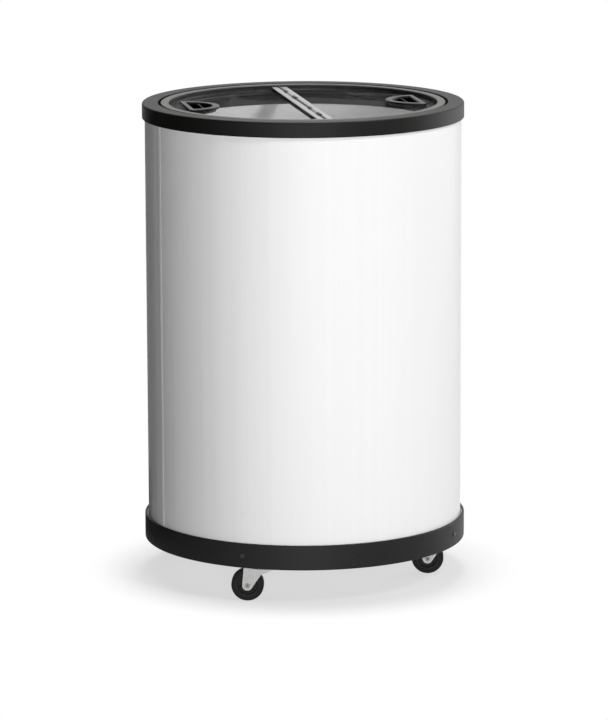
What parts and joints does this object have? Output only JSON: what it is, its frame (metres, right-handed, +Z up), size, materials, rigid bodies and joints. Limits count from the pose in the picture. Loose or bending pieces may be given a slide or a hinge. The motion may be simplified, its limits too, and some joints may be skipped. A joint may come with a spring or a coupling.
{
  "type": "cylinder freezer",
  "caption": "Round upright freezer cabinet on swivel casters, with a dark collar and base ring and two half-round glass lids with finger cups, hinged across the top of an insulated tank.",
  "frame": {"origin": "on the floor, under the cabinet's axis", "axes": "+Z up along the cabinet's axis, -Y the front, the lid hinge along Y"},
  "size_m": [0.604, 0.604, 0.892],
  "materials": {
    "collar_plastic": "fine-grained black moulding",
    "lid_frame_plastic": "satin dark grey moulding",
    "throat_plastic": "satin black moulding",
    "base_plastic": "fine-grained black bumper",
    "grip_plastic": "semi-gloss black moulding",
    "dark_trim": "matt black moulding",
    "white_steel": "gloss white coated sheet",
    "tank_aluminium": "satin embossed sheet",
    "rail_aluminium": "satin anodised extrusion",
    "glass": "clear toughened glass",
    "rubber_seal": "matt black rubber",
    "zinc_steel": "bright zinc plate",
    "galvanised_steel": "galvanised sheet",
    "steel_fastener": "plain zinc",
    "black_fastener": "black coated",
    "wheel_plastic": "black moulded hub",
    "tyre_rubber": "grey-black tread",
    "foam": "rigid polyurethane foam",
    "copper": "copper tube",
    "compressor_black": "black enamel",
    "fin_aluminium": "bare fin stock",
    "dial_plastic": "dark grey dial"
  },
  "bodies": {
    "cabinet": {"base_tray": "galvanised_steel", "base_ring": "base_plastic", "base_ring_screws": "black_fastener", "machine_deck": "galvanised_steel", "deck_posts": "galvanised_steel", "outer_wrap": "white_steel", "insulation_foam": "foam", "tank_liner": "tank_aluminium", "evaporator_jacket": "fin_aluminium", "throat_ring": "throat_plastic", "top_collar": "collar_plastic", "lid_frame": "lid_frame_plastic", "lid_gasket": "rubber_seal", "hinge_pin": "black_fastener", "rear_grille": "dark_trim", "grille_screws": "black_fastener", "thermostat_body": "dark_trim", "cable_gland": "dark_trim", "compressor_shell": "compressor_black", "compressor_grommets": "rubber_seal", "terminal_cover": "dark_trim", "condenser_fins": "fin_aluminium", "condenser_coil": "copper", "fan_shroud": "galvanised_steel", "fan_motor": "compressor_black", "discharge_line": "copper", "suction_line": "copper", "liquid_line": "copper", "filter_drier": "copper", "capillary_tube": "copper", "caster_bolts": "steel_fastener", "caster_plate_1": "zinc_steel", "caster_plate_2": "zinc_steel", "caster_plate_3": "zinc_steel", "caster_plate_4": "zinc_steel"},
    "left_lid": {"left_glass": "glass", "left_edge_rail": "rail_aluminium", "left_grip": "grip_plastic", "hinge_bushes": "dark_trim"},
    "right_lid": {"right_glass": "glass", "right_edge_rail": "rail_aluminium", "right_grip": "grip_plastic"},
    "fan": {"fan_blades": "fin_aluminium"},
    "dial": {"thermostat_knob": "dial_plastic"},
    "swivel_1": {"caster_fork_1": "zinc_steel", "caster_axle_1": "steel_fastener"},
    "wheel_1": {"caster_hub_1": "wheel_plastic", "caster_tyre_1": "tyre_rubber"},
    "swivel_2": {"caster_fork_2": "zinc_steel", "caster_axle_2": "steel_fastener"},
    "wheel_2": {"caster_hub_2": "wheel_plastic", "caster_tyre_2": "tyre_rubber"},
    "swivel_3": {"caster_fork_3": "zinc_steel", "caster_axle_3": "steel_fastener"},
    "wheel_3": {"caster_hub_3": "wheel_plastic", "caster_tyre_3": "tyre_rubber"},
    "swivel_4": {"caster_fork_4": "zinc_steel", "caster_axle_4": "steel_fastener"},
    "wheel_4": {"caster_hub_4": "wheel_plastic", "caster_tyre_4": "tyre_rubber"}
  },
  "joints": [
    {"name": "left_lid_hinge", "type": "hinge", "parent": "cabinet", "child": "left_lid", "pos_m": [0, 0, 0.8875], "axis": [0, 1, 0], "range_deg": [0, 85]},
    {"name": "right_lid_hinge", "type": "hinge", "parent": "cabinet", "child": "right_lid", "pos_m": [0, 0, 0.8875], "axis": [0, -1, 0], "range_deg": [0, 85]},
    {"name": "fan_spin", "type": "hinge", "parent": "cabinet", "child": "fan", "pos_m": [-0.15, 0, 0.1755], "axis": [1, 0, 0], "continuous": true},
    {"name": "dial_turn", "type": "hinge", "parent": "cabinet", "child": "dial", "pos_m": [0, 0.2831, 0.2395], "axis": [0, -1, 0], "range_deg": [0, 300]},
    {"name": "swivel_1_turn", "type": "hinge", "parent": "cabinet", "child": "swivel_1", "pos_m": [-0.12381, -0.2309, 0], "axis": [0, 0, 1], "continuous": true},
    {"name": "wheel_1_spin", "type": "hinge", "parent": "swivel_1", "child": "wheel_1", "pos_m": [-0.14918, -0.22523, 0.03], "axis": [-0.2181, -0.9759, 0], "continuous": true},
    {"name": "swivel_2_turn", "type": "hinge", "parent": "cabinet", "child": "swivel_2", "pos_m": [0.24525, -0.09218, 0], "axis": [0, 0, 1], "continuous": true},
    {"name": "wheel_2_spin", "type": "hinge", "parent": "swivel_2", "child": "wheel_2", "pos_m": [0.21987, -0.08651, 0.03], "axis": [-0.2181, -0.9759, 0], "continuous": true},
    {"name": "swivel_3_turn", "type": "hinge", "parent": "cabinet", "child": "swivel_3", "pos_m": [0.12381, 0.2309, 0], "axis": [0, 0, 1], "continuous": true},
    {"name": "wheel_3_spin", "type": "hinge", "parent": "swivel_3", "child": "wheel_3", "pos_m": [0.09795, 0.23362, 0.03], "axis": [-0.1045, -0.9945, 0], "continuous": true},
    {"name": "swivel_4_turn", "type": "hinge", "parent": "cabinet", "child": "swivel_4", "pos_m": [-0.22072, 0.14116, 0], "axis": [0, 0, 1], "continuous": true},
    {"name": "wheel_4_spin", "type": "hinge", "parent": "swivel_4", "child": "wheel_4", "pos_m": [-0.2038, 0.1609, 0.03], "axis": [-0.7593, 0.6508, 0], "continuous": true}
  ]
}
